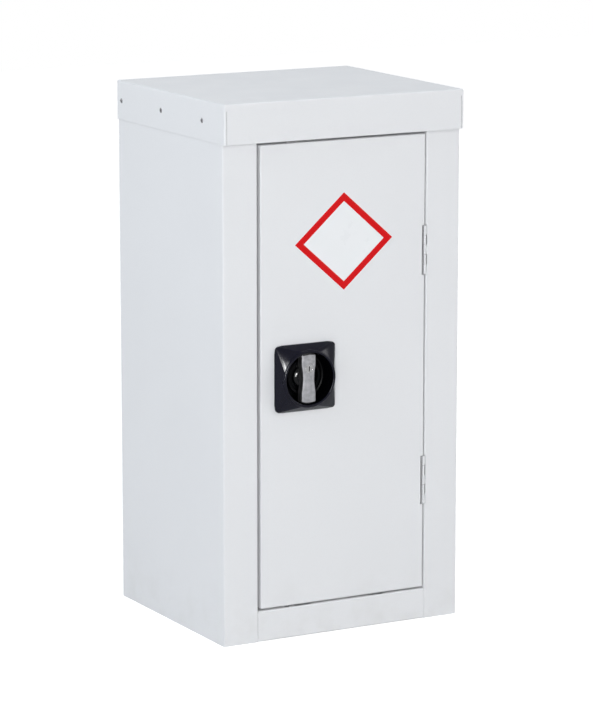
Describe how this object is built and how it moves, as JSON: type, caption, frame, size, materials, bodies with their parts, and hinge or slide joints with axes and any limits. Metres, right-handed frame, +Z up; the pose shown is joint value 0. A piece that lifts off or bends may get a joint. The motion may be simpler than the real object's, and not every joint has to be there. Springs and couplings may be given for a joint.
{
  "type": "hazardous substance cabinet",
  "caption": "Small white steel storage cabinet with a right-hinged inset door, recessed turn handle with key lock, overhanging riveted lid, lift-off lipped shelf and sump base",
  "frame": {"origin": "middle of the base on the floor, below the centre of the whole outline with the handle", "axes": "+X to the right as seen from the front (the hinged side), +Y from the door to the back, +Z up"},
  "size_m": [0.3564, 0.318, 0.712],
  "materials": {
    "white_enamel": "satin powder coat, fine orange peel",
    "zinc_plate": "bright zinc plated",
    "rivet_aluminium": "dull grey",
    "black_rubber": "matt",
    "black_plastic": "gloss",
    "satin_zinc": "satin die casting",
    "nickel": "nickel plated",
    "label_vinyl": "white vinyl with a plain red edge"
  },
  "bodies": {
    "cabinet": {"left_side_panel": "white_enamel", "right_side_panel": "white_enamel", "back_panel": "white_enamel", "base_sump": "white_enamel", "bottom_rail": "white_enamel", "top_rail": "white_enamel", "lid": "white_enamel", "lid_rivets_left": "rivet_aluminium", "lid_rivets_right": "rivet_aluminium", "shelf_upright_front_left": "white_enamel", "shelf_upright_front_right": "white_enamel", "shelf_upright_rear_left": "white_enamel", "shelf_upright_rear_right": "white_enamel", "shelf_clip_front_left": "zinc_plate", "shelf_clip_front_right": "zinc_plate", "shelf_clip_rear_left": "zinc_plate", "shelf_clip_rear_right": "zinc_plate", "hinge_frame_leaf_lower": "white_enamel", "hinge_frame_leaf_upper": "white_enamel", "hinge_pin_lower": "zinc_plate", "hinge_pin_upper": "zinc_plate", "door_buffers": "black_rubber"},
    "door": {"door_panel": "white_enamel", "door_stiffener": "white_enamel", "hinge_door_leaf_lower": "white_enamel", "hinge_door_leaf_upper": "white_enamel", "lock_housing": "black_plastic", "lock_backplate": "zinc_plate", "lock_screws": "zinc_plate", "blank_label": "label_vinyl"},
    "handle": {"handle_grip": "satin_zinc", "handle_hub": "black_plastic", "grip_screw": "zinc_plate", "key_cylinder": "nickel", "spindle_circlip": "zinc_plate", "handle_spindle": "zinc_plate", "latch_cam": "zinc_plate", "cam_washer": "zinc_plate", "cam_screw": "zinc_plate"},
    "key_plug": {"cylinder_plug": "nickel"},
    "shelf": {"shelf": "white_enamel"}
  },
  "joints": [
    {"name": "door_hinge", "type": "hinge", "parent": "cabinet", "child": "door", "pos_m": [0.1241, -0.1426, 0.34975], "axis": [0, 0, 1], "range_deg": [0, 160]},
    {"name": "handle_turn", "type": "hinge", "parent": "door", "child": "handle", "pos_m": [-0.057, -0.132, 0.34815], "axis": [0, 1, 0], "range_deg": [0, 90]},
    {"name": "key_turn", "type": "hinge", "parent": "handle", "child": "key_plug", "pos_m": [-0.057, -0.1475, 0.36115], "axis": [0, 1, 0], "range_deg": [0, 90]},
    {"name": "shelf_lift", "type": "slide", "parent": "cabinet", "child": "shelf", "axis": [0, 0, 1], "range_m": [0, 0.05]}
  ]
}
